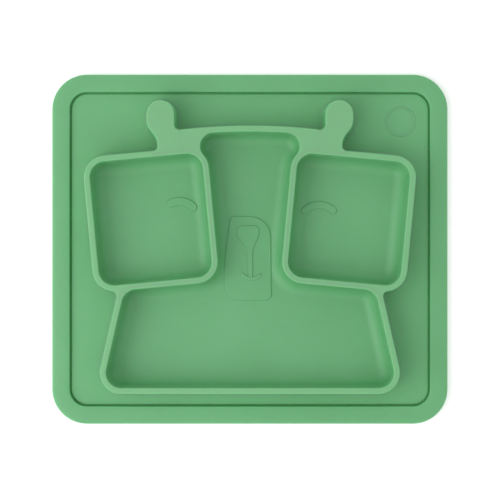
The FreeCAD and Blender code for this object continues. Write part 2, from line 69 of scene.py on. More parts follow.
# Outlines of the face as belts round pins, in millimetres: each row
# is x, y and radius, negative where the pin presses in from outside.
MUZZLE = np.array(
    [
        (0.2, 8.3, 14.0),
        (-10.7, 19.3, 3.0),
        (182.5, -22.4, 200.0),
        (-7.5, -25.0, 10.0),
        (10.7, -30.9, 4.0),
    ]
)
NOSE = np.array(
    [
        (0.8, 10.6, 5.4),
        (3.2, 13.0, 3.0),
        (-5.6, 13.0, 3.0),
        (-3.0, 10.4, 5.6),
        (-6.0, -1.0, -4.0),
        (0.1, -18.3, 1.0),
        (0.9, -18.3, 1.0),
        (5.9, -1.0, -4.0),
    ]
)
ROOT = "plate"
SINK = 0.0003  # how far a piece that stands on another reaches into it
SHARP = 32.0  # degrees: steeper edges are shaded sharp
DOUBLED = 1e-7  # points nearer than this are one point


def length(name, description, default):
    """A size in metres."""
    return FloatProperty(
        name=name, description=description, default=default, unit="LENGTH",
        subtype="DISTANCE", precision=4,
    )


def angle(name, description, default):
    """An angle, given here in degrees and kept in radians."""
    return FloatProperty(
        name=name, description=description, default=math.radians(default),
        subtype="ANGLE",
    )


def amount(name, description, default):
    """A plain number."""
    return FloatProperty(name=name, description=description, default=default)


def colour(name, description, default):
    """A linear colour."""
    return FloatVectorProperty(
        name=name, description=description, default=default, size=3,
        subtype="COLOR", min=0.0, max=1.0,
    )


class PlateWalls(bpy.types.PropertyGroup):
    """Sizes of the bowls' and knobs' walls, seen from above and in section."""

    wall: length("Wall", "Wall thickness at the top", 0.0041)
    lean: angle("Draft", "Lean of every wall", 4.0)
    edge: length("Edge", "Rounding of the wall tops", 0.0008)
    foot: length("Foot", "Fillet from the outer walls to the sheet", 0.0012)
    bowl_width: length("Bowl width", "Square bowl, inside, across", 0.076)
    bowl_length: length("Bowl length", "Square bowl, inside, front to back", 0.0832)
    bowl_corner: length("Bowl corner", "Square bowl, inside corner radius", 0.0106)
    bowl_tilt: angle("Bowl turn", "Turn of each square bowl", 5.4)
    bowl_x: length("Bowl offset", "Square bowl centre to the middle line", 0.0664)
    bowl_y: length("Bowl forward", "Square bowl centre beyond the middle", 0.0199)
    fillet: length("Fillet", "Bowl walls to bowl floors", 0.0086)
    back_fillet: length("Back fillet", "The same in the main bowl's back corners", 0.0068)
    front_half: length("Front half width", "Main bowl at its front corners", 0.099)
    front: length("Front", "Main bowl's front wall to the middle", 0.0929)
    side_lean: angle("Side lean", "Main bowl's side walls in the plan", 12.85)
    front_corner: length("Front corner", "Main bowl's front corner radius", 0.0102)
    back_corner: length("Back corner", "Main bowl's back corner radius", 0.009)
    back: length("Back", "Main bowl's back wall to the middle", 0.0787)
    brow: length("Brow", "Long curve of the back wall", 0.405)
    knob_x: length("Knob offset", "Knob's head to the middle line", 0.06)
    knob_y: length("Knob forward", "Knob's head beyond the middle", 0.0906)
    knob: length("Knob", "Radius of the knob's head", 0.0093)
    cheek: length("Cheek", "Radius below the head, outer side", 0.010)
    cheek_drop: length("Cheek drop", "Head's centre to the cheek's centre", 0.004)
    neck: length("Neck", "Hollow radius of the neck's outer side", 0.013)
    neck_x: length("Neck offset", "Neck's outer side to the middle line", 0.0619)
    neck_y: length("Neck forward", "Hollow's centre beyond the middle", 0.0692)
    crook: length("Crook", "Inside radius at the knob's root", 0.0033)
    crook_out: length("Outer crook", "Inside radius at the neck's foot", 0.0032)
    shoulder: length("Shoulder", "Inside radius where bowls meet outside", 0.0033)


class PlateMat(bpy.types.PropertyGroup):
    """Sizes of the sheet, its border, the badge and the suction cups."""

    border: length("Border", "Width of the raised border", 0.0121)
    corner: length("Corner", "Corner radius of the mat", 0.0238)
    outer_round: length("Outer round", "Rounding of the border's outer edge", 0.0021)
    inner_round: length("Inner round", "Rounding of the border's inner edge", 0.0006)
    crown: length("Crown", "Rise of the border's middle", 0.00025)
    groove: length("Groove", "Width of the groove along the border", 0.0010)
    groove_depth: length("Groove depth", "Depth below the sheet", 0.0018)
    badge_band: length("Badge band", "Width of the badge's ring", 0.0016)
    recess: length("Recess", "Radius of the recess above each cup", 0.020)
    lip_width: length("Lip width", "Flat of each cup's lip", 0.0024)
    hub: length("Hub", "Root of each cup's dome", 0.005)
    skin: length("Skin", "Thickness of each cup's dome", 0.0008)


class PlateFace(bpy.types.PropertyGroup):
    """Sizes of the sleepy face in low relief."""

    rise: length("Rise", "Height of each relief", 0.0008)
    soft: length("Softness", "Rounding of the relief's edges", 0.0005)
    left_radius: length("Left eyelid", "Middle of the left eyelid's curve", 0.0125)
    left_band: length("Left band", "Width of the left eyelid", 0.0054)
    left_span: angle("Left span", "Arc of the left eyelid", 76.0)
    left_turn: angle("Left turn", "Direction of the left eyelid's middle", 81.0)
    left_x: length("Left across", "Centre of the left eyelid's curve", -0.048)
    left_y: length("Left forward", "Centre of the left eyelid's curve", 0.0202)
    right_radius: length("Right eyelid", "Middle of the right eyelid's curve", 0.0138)
    right_band: length("Right band", "Width of the right eyelid", 0.0049)
    right_span: angle("Right span", "Arc of the right eyelid", 89.0)
    right_turn: angle("Right turn", "Direction of the right eyelid's middle", 90.0)
    right_x: length("Right across", "Centre of the right eyelid's curve", 0.0473)
    right_y: length("Right forward", "Centre of the right eyelid's curve", 0.0165)
    mouth_radius: length("Mouth radius", "Middle of the mouth's curve", 0.0079)
    mouth_band: length("Mouth band", "Width of the mouth", 0.0023)
    mouth_span: angle("Mouth span", "Arc of the mouth", 98.0)
    mouth_turn: angle("Mouth turn", "Direction of the mouth's lowest point", -92.5)
    mouth_x: length("Mouth offset", "Mouth's centre to the middle line", 0.0012)
    mouth_y: length("Mouth forward", "Mouth's centre beyond the middle", -0.0124)


class PlateFinish(bpy.types.PropertyGroup):
    """Colour and surface of the silicone, with the painted highlight on the wall tops."""

    base: colour("Silicone", "Colour of the silicone", (0.149, 0.472, 0.2035))
    shade: colour("Darker flecks", "Colour where the pigment is denser", (0.137, 0.451, 0.188))
    # Rim is a painted highlight: a lighter colour on the flat wall tops for the extra light
    # that reaches the high, open tops.
    rim: colour("Rim", "Colour of the wall tops, polished by the mould", (0.19, 0.495, 0.23))
    roughness: amount("Roughness", "Middle roughness of the surface", 0.52)
    grain: length("Grain", "Size of the moulded grain", 0.0006)
    depth: length("Grain depth", "Depth of the moulded grain", 0.00003)


class PlateStage(bpy.types.PropertyGroup):
    """Floor, lights and camera."""

    distance: length("Camera distance", "Camera above the border", 1.1)
    view_width: length("View width", "Width seen at the border's height", 0.3409)
    floor: colour("Floor", "Colour of the floor", (0.93, 0.93, 0.93))
    glow: amount("Floor glow", "Light of the translucent floor lit from below", 0.35)
    sky: amount("Sky", "Strength of the all-round light", 0.68)
    key: amount("Key light", "Power of the large soft light, watts", 12.0)


def unit(turn):
    """Unit vectors at the given angles: (cos, sin)."""
    return np.stack([np.cos(turn), np.sin(turn)], -1)


def mirror(points):
    """The same points on the other side of the middle line."""
    return points * np.array([-1.0, 1.0])


def belt(pins, first=None, last=None, chord=0.004, run=None):
    """Outline of a belt pulled tight round pins (x, y, radius), anticlockwise.

    A negative radius means that the pin presses on the belt from outside.  The
    outward normal of the straight run from pin a to pin b has the angle of
    (b - a), less a quarter turn, plus asin((ra - rb) / |b - a|).  On a pin the
    belt's point is centre + radius * normal, while the normal turns from the
    incoming run's angle to the outgoing run's.  With first and last the belt
    is open and starts and ends at those normal angles.  Gives the points, their
    outward normals and each pin's first and last index.
    """
    centres = np.array([pin[:2] for pin in pins])
    radii = np.array([pin[2] for pin in pins])
    ahead = np.roll(centres, -1, 0) - centres
    gap = np.hypot(ahead[:, 0], ahead[:, 1])
    slope = np.clip((radii - np.roll(radii, -1)) / gap, -1, 1)
    leave = np.arctan2(ahead[:, 1], ahead[:, 0]) - math.pi / 2 + np.arcsin(slope)
    arrive = np.roll(leave, 1)
    if first is not None:
        arrive[0], leave[-1] = first, last
    points, normals, marks, count = [], [], [], 0
    for index, (centre, radius) in enumerate(zip(centres, radii)):
        way = math.copysign(1.0, radius)
        turn = (way * (leave[index] - arrive[index]) + 1e-5) % (2 * math.pi) - 1e-5
        turn *= way
        parts = math.ceil(abs(turn) * max(36 / math.pi, abs(radius) / chord))
        steps = parts + 1 if abs(turn) > 1e-4 else 1
        normal = unit(arrive[index] + turn * np.linspace(0, 1, steps))
        point = centre + radius * normal
        if points and np.hypot(*(point[0] - points[-1][-1])) < DOUBLED:
            point, normal, count = point[1:], normal[1:], count - 1
            marks.append((count, count + len(point)))
            count += 1
        else:
            marks.append((count, count + len(point) - 1))
        points.append(point)
        normals.append(normal)
        count += len(point)
        if first is not None and index == len(pins) - 1:
            break
        after = centres[(index + 1) % len(pins)]
        target = after + radii[(index + 1) % len(pins)] * unit(leave[index])
        start = points[-1][-1] if len(point) else centre + radius * unit(leave[index])
        parts = int(np.hypot(*(target - start)) / run) if run else 0
        if parts:
            share = np.arange(1, parts + 1)[:, None] / (parts + 1)
            points.append(start + share * (target - start))
            normals.append(np.repeat(unit(leave[index])[None], parts, 0))
            count += parts
    points, normals = np.concatenate(points), np.concatenate(normals)
    closed = int(np.hypot(*(points[-1] - points[0])) < DOUBLED)
    return points[: count - closed], normals[: count - closed], marks


def wall_section(top, floor, lean, edge, fillet, margin=SINK, buried=False):
    """Section of a leaning wall from its flat top to the floor at its foot.

    Offsets from the wall's top line and heights.  The top edge is an arc of
    radius edge from pointing up to square to the wall; the wall is straight;
    the fillet is an arc from the wall to level.  Both arcs touch the wall's
    line offset = (top - height) * tan(lean).  fillet may be one radius for
    each point of the outline.  A buried section ends just below the floor.
    """
    fillet = np.atleast_1d(fillet)[:, None]
    reach = math.tan(math.pi / 4 - lean / 2)
    over = np.linspace(math.pi / 2, lean, 7)
    down = np.linspace(lean, math.pi / 2, 13)
    rim = -edge * reach + edge * np.cos(over), top - edge + edge * np.sin(over)
    centre = (top - floor) * math.tan(lean) + fillet * reach
    foot = centre - fillet * np.cos(down), floor + fillet * (1 - np.sin(down))
    count = len(fillet)
    flat = np.full((count, 1), -edge * reach - margin), np.full((count, 1), top)
    last = foot[0][:, -1:] + margin, np.full((count, 1), floor - margin * buried)
    offsets = [flat[0], np.repeat(rim[0][None], count, 0), foot[0], last[0]]
    heights = [flat[1], np.repeat(rim[1][None], count, 0), foot[1], last[1]]
    return np.concatenate(offsets, 1), np.concatenate(heights, 1)


def carried(points, normals, offsets, heights):
    """A section carried along an outline: (outline + offset * normal, height)."""
    plan = points[:, None] + offsets[..., None] * normals[:, None]
    heights = np.broadcast_to(heights, plan.shape[:2])
    return np.concatenate([plan, heights[..., None]], -1)


def strip_faces(count, rows, start=0, flip=False, round_section=False):
    """Quads between neighbouring columns of a grid that closes on itself."""
    column = np.arange(count)
    after = (column + 1) % count
    row = np.arange(rows if round_section else rows - 1)
    below = (row + 1) % rows
    near, far = start + column[:, None] * rows, start + after[:, None] * rows
    quads = np.stack([near + row, near + below, far + below, far + row], -1)
    quads = quads.reshape(-1, 4)
    return quads[:, ::-1] if flip else quads


class Shape:
    """Points and faces of one closed piece while it is put together."""

    def __init__(self):
        self.points, self.faces, self.count = [], [], 0

    def strip(self, grid, flip=False, round_section=False):
        """Add a grid of columns; gives back the indices of its vertices."""
        columns, rows = grid.shape[:2]
        self.faces += strip_faces(columns, rows, self.count, flip, round_section).tolist()
        indices = self.count + np.arange(columns * rows).reshape(columns, rows)
        self.points.append(grid.reshape(-1, 3))
        self.count += columns * rows
        return indices

    def cap(self, loops, upward=True):
        """Fill between closed loops of vertices with Delaunay triangles in plan.

        A triangle lies between the loops when an odd number of their edges pass
        to the right of its middle.
        """
        indices = np.concatenate(loops)
        plan = np.concatenate(self.points)[indices, :2]
        sizes = np.array([len(loop) for loop in loops])
        first = np.repeat(np.cumsum(sizes) - sizes, sizes)
        order = np.arange(len(indices))
        ahead = first + (order - first + 1) % np.repeat(sizes, sizes)
        edges = np.stack([order, ahead], -1).tolist()
        corners = [Vector(point) for point in 1000 * plan]
        _, _, faces, origin, _, _ = delaunay_2d_cdt(corners, edges, [], 0, 1e-6, True)
        if [entry[:1] for entry in origin] != order[:, None].tolist():
            raise RuntimeError("the loops of a cap touch or cross")
        triangles = np.array(faces)
        middle = plan[triangles].mean(1)
        start, rise = plan, plan[ahead] - plan
        spans = (plan[:, 1] > middle[:, 1:]) != (plan[ahead, 1] > middle[:, 1:])
        share = (middle[:, 1:] - start[:, 1]) / np.where(rise[:, 1] == 0, 1, rise[:, 1])
        right = start[:, 0] + share * rise[:, 0] > middle[:, :1]
        triangles = triangles[(spans & right).sum(1) % 2 == 1]
        if not upward:
            triangles = triangles[:, ::-1]
        self.faces += indices[triangles].tolist()

    def fan(self, loop, upward=True):
        """Fill a small closed loop with triangles about its middle."""
        points = np.concatenate(self.points)[loop]
        self.points.append(points.mean(0, keepdims=True))
        middle = np.full(len(loop), self.count)
        self.count += 1
        triangles = np.stack([loop, np.roll(loop, -1), middle], -1)
        self.faces += (triangles if upward else triangles[:, ::-1]).tolist()

    def piece(self, name, body, nodes, mirrored=False):
        """Make the mesh object, put the silicone on it and tie it to the frame."""
        points = np.concatenate(self.points)
        faces = self.faces
        if mirrored:
            points = points * np.array([-1.0, 1.0, 1.0])
            faces = [face[::-1] for face in faces]
        mesh = bpy.data.meshes.new(name)
        mesh.from_pydata(points.tolist(), [], faces)
        # Where a section stands upright its first two points fall together.
        cleaned = bmesh.new()
        cleaned.from_mesh(mesh)
        bmesh.ops.remove_doubles(cleaned, verts=cleaned.verts, dist=DOUBLED)
        cleaned.to_mesh(mesh)
        cleaned.free()
        mesh.polygons.foreach_set("use_smooth", np.ones(len(mesh.polygons), bool))
        mesh.update()
        mesh.set_sharp_from_angle(angle=math.radians(SHARP))
        mesh.materials.append(silicone())
        obj = bpy.data.objects.new(name, mesh)
        bpy.context.scene.collection.objects.link(obj)
        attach(obj, body)
        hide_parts(*nodes)
        return obj


def crossing(centre, radius, other, other_radius):
    """Where two circles cross, right of the line from one centre to the other."""
    gap = other - centre
    far = np.hypot(*gap)
    along = (far**2 + radius**2 - other_radius**2) / (2 * far)
    aside = math.sqrt(radius**2 - along**2)
    return centre + (along * gap + aside * np.array([gap[1], -gap[0]])) / far


class Plan:
    """Every outline of the walls seen from above, worked out from PlateWalls."""

    def __init__(self, s):
        half = s.wall / 2
        ring = s.bowl_corner + s.wall
        across, along = unit(s.bowl_tilt), unit(s.bowl_tilt + math.pi / 2)
        middle = np.array([-s.bowl_x, s.bowl_y])
        wide = (s.bowl_width / 2 - s.bowl_corner) * across
        deep = (s.bowl_length / 2 - s.bowl_corner) * along
        far_right, far_left = middle + wide + deep, middle - wide + deep
        near_left, near_right = middle - wide - deep, middle + wide - deep
        corner = s.bowl_corner
        self.square = belt(
            [(*centre, corner) for centre in (far_right, far_left, near_left, near_right)]
        )

        # The main bowl's left half: back corner, round the square bowl, side wall.
        brow = np.array([0.0, s.back - s.brow])
        side = unit(math.pi - s.side_lean)
        climb = unit(math.pi / 2 - s.side_lean)
        shift = s.front_corner * (1 + math.sin(s.side_lean)) / math.cos(s.side_lean)
        front = np.array([shift - s.front_half, s.front_corner - s.front])
        drop = ring + s.front_corner + (front - near_right) @ along
        armpit = front - drop / (climb @ along) * climb
        temple = crossing(brow, s.brow - s.back_corner, far_right, ring + s.back_corner)
        inner = [
            (*temple, s.back_corner),
            (*far_right, -ring),
            (*near_right, -ring),
            (*armpit, s.front_corner),
            (*front, s.front_corner),
        ]
        reflected = [(-x, y, radius) for x, y, radius in inner[::-1]]
        self.main = belt([(*brow, s.brow)] + inner + reflected)

        # The silhouette's left half: knob, square bowl, side wall.
        outer = s.brow + s.wall
        crook_x = s.knob - s.knob_x + s.crook
        crook_y = brow[1] + math.sqrt((outer + s.crook) ** 2 - crook_x**2)
        cheek = np.array([-s.knob_x - s.knob + s.cheek, s.knob_y - s.cheek_drop])
        foot_x = -s.neck_x - s.crook_out
        rise = ring + s.crook_out - (foot_x - far_left[0]) * along[0]
        foot = np.array([foot_x, far_left[1] + rise / along[1]])
        beside = front + (s.front_corner + s.wall + s.shoulder) * side
        to_bowl = (near_left - beside) @ climb
        reach = (ring + s.shoulder) ** 2 - np.sum((near_left - beside) ** 2) + to_bowl**2
        notch = beside + (to_bowl - math.sqrt(reach)) * climb
        wide_corner = s.front_corner + s.wall
        hull = [
            (crook_x, crook_y, -s.crook),
            (-s.knob_x, s.knob_y, s.knob),
            (*cheek, s.cheek),
            (-s.neck_x - s.neck, s.neck_y, -s.neck),
            (*foot, -s.crook_out),
            (*far_left, ring),
            (*near_left, ring),
            (*notch, -s.shoulder),
            (*armpit, wide_corner),
            (*front, wide_corner),
        ]
        reflected = [(-x, y, radius) for x, y, radius in hull[::-1]]
        self.hull = belt([(*brow, outer)] + hull + reflected)
        points, normals, marks = self.hull

        # Lines along which the moulding is divided into its regions.
        self.root, self.neck_end, self.side_end = marks[1][0], marks[5][1], marks[9][0]
        self.far_root = marks[-1][1]
        self.far_side = marks[-9][0]
        start, outward = points[self.root], normals[self.root]
        level = (start - far_right) @ along - (ring - half)
        under_root = start - level / (outward @ along) * outward
        under_neck = points[self.neck_end] - half * normals[self.neck_end]
        self.knob_cut = np.array([under_neck, under_root])
        inside = ring - half
        divide, _, _ = belt(
            [
                (*far_right, -inside),
                (*near_right, -inside),
                (*armpit, s.front_corner + half),
            ],
            first=s.bowl_tilt - math.pi / 2,
            last=math.pi - s.side_lean,
        )
        self.divide = np.concatenate([[under_root], divide])

    def stretch(self, first, last):
        """Points and normals of the silhouette between two indices."""
        points, normals, _ = self.hull
        index = np.arange(first, last + 1) % len(points)
        return points[index], normals[index]


def joined(*parts):
    """One closed loop from stretches of silhouette and plain cuts.

    A cut's points have no normal, so a section carried along the loop stands
    upright there and follows the silhouette's wall elsewhere.
    """
    points = [part[0] if isinstance(part, tuple) else part for part in parts]
    normals = [part[1] if isinstance(part, tuple) else 0 * part for part in parts]
    return np.concatenate(points), np.concatenate(normals)


def distance_to(points, outline):
    """Shortest distance from each point to a closed polyline."""
    start, run = outline, np.roll(outline, -1, 0) - outline
    away = points[:, None] - start[None]
    share = (away * run).sum(-1) / (run**2).sum(-1)
    near = away - np.clip(share, 0, 1)[..., None] * run
    return np.hypot(near[..., 0], near[..., 1]).min(1)


def walled(s, loop, opening=None, fillet=None):
    """A region of the moulding: outer walls round a loop, and a bowl in it."""
    shape = Shape()
    offsets, heights = wall_section(
        WALL_TOP, SHEET_HIGH.z, s.lean, s.edge, s.foot, buried=True
    )
    outside = shape.strip(carried(*loop, offsets, heights))
    rims = [outside[:, 0]]
    if opening is not None:
        points, normals, _ = opening
        offsets, heights = wall_section(WALL_TOP, PANEL_LOW.z, s.lean, s.edge, fillet)
        inside = shape.strip(carried(points, -normals, offsets, heights), flip=True)
        rims.append(inside[:, 0])
        shape.cap([inside[:, -1]])
    shape.cap(rims)
    shape.cap([outside[:, -1]], upward=False)
    return shape


def main_fillets(s, plan):
    """Fillet radius along the main bowl's outline, smaller in its back corners."""
    points = plan.main[0]
    corner = plan.main[0][plan.main[2][1][0]]
    near = np.hypot(np.abs(points[:, 0]) - abs(corner[0]), points[:, 1] - corner[1])
    tight, blend = 0.012, 0.03  # reach of the small fillet, length of the change
    share = np.clip((near - tight) / blend, 0, 1)
    share = share * share * (3 - 2 * share)
    return s.back_fillet + (s.fillet - s.back_fillet) * share


def floor_height(s, outline, fillet, points):
    """Height of a bowl's inside at points of the plan, from the nearest wall."""
    offsets, heights = wall_section(WALL_TOP, PANEL_LOW.z, s.lean, s.edge, fillet)
    return np.interp(distance_to(points, outline), offsets[0], heights[0])


def relief(outline, rise, soft, base, depth, rings=0):
    """A low raised figure that follows the surface it stands on.

    The section starts inside and below the surface, runs out to the outline,
    climbs, turns over an arc of radius soft and runs inwards to depth; base
    gives the surface's height at points of the plan, and the section's heights
    are added to it.  Rings shrink the last row towards its middle.
    """
    points, normals, _ = outline
    turn = np.linspace(0, math.pi / 2, 6)
    inward = np.linspace(soft, depth, 5)[1:]
    over = soft * (1 - np.cos(turn))
    up = rise - soft * (1 - np.sin(turn))
    offsets = -np.concatenate([inward[::-1], [0.0], over, inward])
    under = -0.0004
    level = np.concatenate([np.full(5, under), up, np.full(4, rise)])
    grid = carried(points, normals, np.repeat(offsets[None], len(points), 0), level)
    if rings:
        share = np.linspace(0.05, 1, rings + 1)[:-1, None]
        for column, where in ((0, slice(None)), (-1, slice(None, None, -1))):
            edge = grid[:, [column]]
            middle = edge.mean(0, keepdims=True)
            more = middle + share[where] * (edge - middle)
            grid = np.concatenate([more, grid] if column == 0 else [grid, more], 1)
    plan = grid[..., :2].reshape(-1, 2)
    grid[..., 2] += base(plan).reshape(grid.shape[:2])
    shape = Shape()
    inside = shape.strip(grid[:, ::-1])
    fill = shape.fan if rings else lambda loop, upward=True: shape.cap([loop], upward)
    fill(inside[:, 0])
    fill(inside[:, -1], upward=False)
    return shape


def bent_band(x, y, radius, width, span, middle):
    """Outline of a band with round ends, bent about (x, y)."""
    start, finish = middle - span / 2, middle + span / 2
    first = (x + radius * math.cos(start), y + radius * math.sin(start), width / 2)
    second = (x + radius * math.cos(finish), y + radius * math.sin(finish), width / 2)
    pins = [(x, y, radius + width / 2), second, (x, y, -(radius - width / 2)), first]
    return belt(pins, chord=0.0008)


def turned(profile, x, y, steps=96):
    """Columns of a profile of (radius, height) turned about an upright axis."""
    turn = unit(2 * math.pi * np.arange(steps) / steps)
    profile = np.asarray(profile)
    plan = np.array([x, y]) + profile[None, :, :1] * turn[:, None]
    heights = np.broadcast_to(profile[:, 1], plan.shape[:2])
    return np.concatenate([plan, heights[..., None]], -1)


def rounded_corner(centre, radius, start, finish, steps=6):
    """Points of an arc in a section, between two angles in degrees."""
    turn = np.radians(np.linspace(start, finish, steps))
    return np.asarray(centre) + radius * unit(turn)


def mat_outline(s, inset):
    """Rounded rectangle parallel to the mat's edge, with its corner centres fixed."""
    wide = BORDER_HIGH.x - s.corner
    deep = BORDER_HIGH.y - s.corner
    corner = s.corner - inset
    pins = [(wide, deep), (-wide, deep), (-wide, -deep), (wide, -deep)]
    return belt([(*pin, corner) for pin in pins], chord=0.001)


# ---- finish ---------------------------------------------------------------


def link(tree, source, target):
    """Join one node's output to another's input."""
    tree.links.new(source, target)


def noise(tree, coordinates, scale, detail, roughness=0.5):
    """A noise texture on the given coordinates."""
    node = tree.nodes.new("ShaderNodeTexNoise")
    node.inputs["Scale"].default_value = scale
    node.inputs["Detail"].default_value = detail
    node.inputs["Roughness"].default_value = roughness
    link(tree, coordinates, node.inputs["Vector"])
    return node.outputs["Fac"]


def ranged(tree, value, low, high, start=0.0, finish=1.0):
    """A value carried from start..finish to low..high."""
    node = tree.nodes.new("ShaderNodeMapRange")
    node.inputs["From Min"].default_value = start
    node.inputs["From Max"].default_value = finish
    node.inputs["To Min"].default_value = low
    node.inputs["To Max"].default_value = high
    link(tree, value, node.inputs["Value"])
    return node.outputs["Result"]


def silicone():
    """Matt moulded silicone: cloudy pigment, fine moulded grain, soft sheen, and a painted
    highlight on the wall tops.
    """
    found = bpy.data.materials.get("moulded_silicone")
    if found:
        return found
    look = bpy.context.scene.plate_finish
    material = bpy.data.materials.new("moulded_silicone")
    material.use_nodes = True
    tree = material.node_tree
    shader = tree.nodes["Principled BSDF"]
    place = tree.nodes.new("ShaderNodeTexCoord").outputs["Object"]

    cloud = noise(tree, place, 24.0, 3.0)
    mix = tree.nodes.new("ShaderNodeMix")
    mix.data_type = "RGBA"
    mix.inputs["A"].default_value = (*look.base, 1.0)
    mix.inputs["B"].default_value = (*look.shade, 1.0)
    link(tree, ranged(tree, cloud, 0.0, 1.0, 0.35, 0.7), mix.inputs["Factor"])

    # Height above the table picks out the flat wall tops. They get the lighter rim colour, a
    # painted highlight for the extra light that reaches them.
    parts = tree.nodes.new("ShaderNodeSeparateXYZ")
    link(tree, place, parts.inputs["Vector"])
    height = ranged(tree, parts.outputs["Z"], 0.0, 1.0, WALL_TOP - 0.0006, WALL_TOP)
    tops = tree.nodes.new("ShaderNodeMix")
    tops.data_type = "RGBA"
    link(tree, height, tops.inputs["Factor"])
    link(tree, mix.outputs["Result"], tops.inputs["A"])
    # Painted highlight: the rim colour lightens the wall tops.
    tops.inputs["B"].default_value = (*look.rim, 1.0)
    link(tree, tops.outputs["Result"], shader.inputs["Base Color"])

    wear = noise(tree, place, 60.0, 4.0)
    rough = ranged(tree, wear, look.roughness - 0.05, look.roughness + 0.05, 0.3, 0.7)
    link(tree, rough, shader.inputs["Roughness"])

    grain = noise(tree, place, 1.0 / look.grain, 2.0, 0.6)
    bump = tree.nodes.new("ShaderNodeBump")
    bump.inputs["Strength"].default_value = 0.35
    bump.inputs["Distance"].default_value = look.depth
    link(tree, grain, bump.inputs["Height"])
    link(tree, bump.outputs["Normal"], shader.inputs["Normal"])

    shader.inputs["Subsurface Weight"].default_value = 0.4
    shader.inputs["Subsurface Radius"].default_value = (0.15, 1.0, 0.35)
    shader.inputs["Subsurface Scale"].default_value = 0.005
    shader.inputs["IOR"].default_value = 1.45
    shader.inputs["Specular IOR Level"].default_value = 0.9
    return material


# ---- operators ------------------------------------------------------------


class PLATE_OT_sheet(bpy.types.Operator):
    """Flat sheet inside the border, with a groove along it and recesses below"""

    bl_idname = "plate.sheet"
    bl_label = "Sheet"

    def execute(self, context):
        s = context.scene.plate_mat
        low, top = SHEET_LOW.z, SHEET_HIGH.z
        floor = top - s.groove_depth
        round_edge = 0.0005
        bevel = 0.0003
        # Section of the rim, as insets from the mat's edge, from the top down.
        edge = s.border + s.groove
        over = rounded_corner((edge + round_edge, top - round_edge), round_edge, 90, 180)
        section = np.concatenate(
            [
                [(edge + round_edge + 0.0005, top)],
                over,
                rounded_corner((edge - round_edge, floor + round_edge), round_edge, 0, -90),
                [(s.border, floor), (s.border, low)],
            ]
        )
        points, normals, _ = mat_outline(s, 0.0)
        insets = np.repeat(-section[None, :, 0], len(points), 0)
        shape = Shape()
        rim = shape.strip(carried(points, normals, insets, section[:, 1]))
        shape.cap([rim[:, 0]])
        holes = [rim[:, -1]]
        for cup in CUPS:
            lip_low, lip_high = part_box("suction_lip_" + cup)
            x, y = (lip_low.x + lip_high.x) / 2, (lip_low.y + lip_high.y) / 2
            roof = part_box("suction_dome_" + cup)[1].z
            wall = [(s.recess, low), (s.recess, roof - bevel), (s.recess - bevel, roof)]
            hole = shape.strip(turned(wall, x, y))
            holes.append(hole[:, 0])
            shape.cap([hole[:, -1]], upward=False)
        shape.cap(holes, upward=False)
        shape.piece("mat_sheet", ROOT, ["placemat"])
        return {"FINISHED"}


class PLATE_OT_border(bpy.types.Operator):
    """Raised border with a softly rounded outer edge"""

    bl_idname = "plate.border"
    bl_label = "Border"

    def execute(self, context):
        s = context.scene.plate_mat
        low, top = BORDER_LOW.z, BORDER_HIGH.z
        small = 0.0005
        outer, inner = s.outer_round, s.inner_round
        # Crown: a shallow arc whose height falls by crown towards both edges.
        share = np.linspace(-1, 1, 13)
        span = s.border - outer - inner
        crown = np.stack(
            [outer + span * (share + 1) / 2, top - s.crown * share**2], -1
        )[1:-1]
        side = top - s.crown
        section = np.concatenate(
            [
                rounded_corner((small, low + small), small, 270, 180, 4),
                rounded_corner((outer, side - outer), outer, 180, 90, 9),
                crown,
                rounded_corner((s.border - inner, side - inner), inner, 90, 0, 6),
                [(s.border, low)],
            ]
        )
        points, normals, _ = mat_outline(s, 0.0)
        insets = np.repeat(-section[None, :, 0], len(points), 0)
        shape = Shape()
        grid = carried(points, normals, insets, section[:, 1])
        shape.strip(grid[:, ::-1], round_section=True)
        shape.piece("mat_border", ROOT, ["border_rim"])
        return {"FINISHED"}


class PLATE_OT_square_bowls(bpy.types.Operator):
    """The two tilted square bowls"""

    bl_idname = "plate.square_bowls"
    bl_label = "Square bowls"

    def execute(self, context):
        s = context.scene.plate_walls
        plan = Plan(s)
        loop = joined(
            plan.stretch(plan.neck_end, plan.side_end),
            plan.divide[::-1],
            plan.knob_cut[:1],
        )
        shape = walled(s, loop, plan.square, s.fillet)
        shape.piece("bowl_left", ROOT, ["left_bowl"])
        shape.piece("bowl_right", ROOT, ["right_bowl"], mirrored=True)
        return {"FINISHED"}


class PLATE_OT_main_bowl(bpy.types.Operator):
    """The T-shaped bowl: forehead between the square bowls and wide front"""

    bl_idname = "plate.main_bowl"
    bl_label = "Main bowl"

    def execute(self, context):
        s = context.scene.plate_walls
        plan = Plan(s)
        count = len(plan.hull[0])
        loop = joined(
            plan.stretch(plan.far_root - count, plan.root),
            plan.divide,
            plan.stretch(plan.side_end, plan.far_side),
            mirror(plan.divide[::-1]),
        )
        shape = walled(s, loop, plan.main, main_fillets(s, plan))
        shape.piece("bowl_main", ROOT, ["main_bowl"])
        return {"FINISHED"}


class PLATE_OT_knobs(bpy.types.Operator):
    """The two round knobs with their necks"""

    bl_idname = "plate.knobs"
    bl_label = "Knobs"

    def execute(self, context):
        s = context.scene.plate_walls
        plan = Plan(s)
        loop = joined(plan.stretch(plan.root, plan.neck_end), plan.knob_cut)
        shape = walled(s, loop)
        shape.piece("knob_left", ROOT, ["left_horn"])
        shape.piece("knob_right", ROOT, ["right_horn"], mirrored=True)
        return {"FINISHED"}


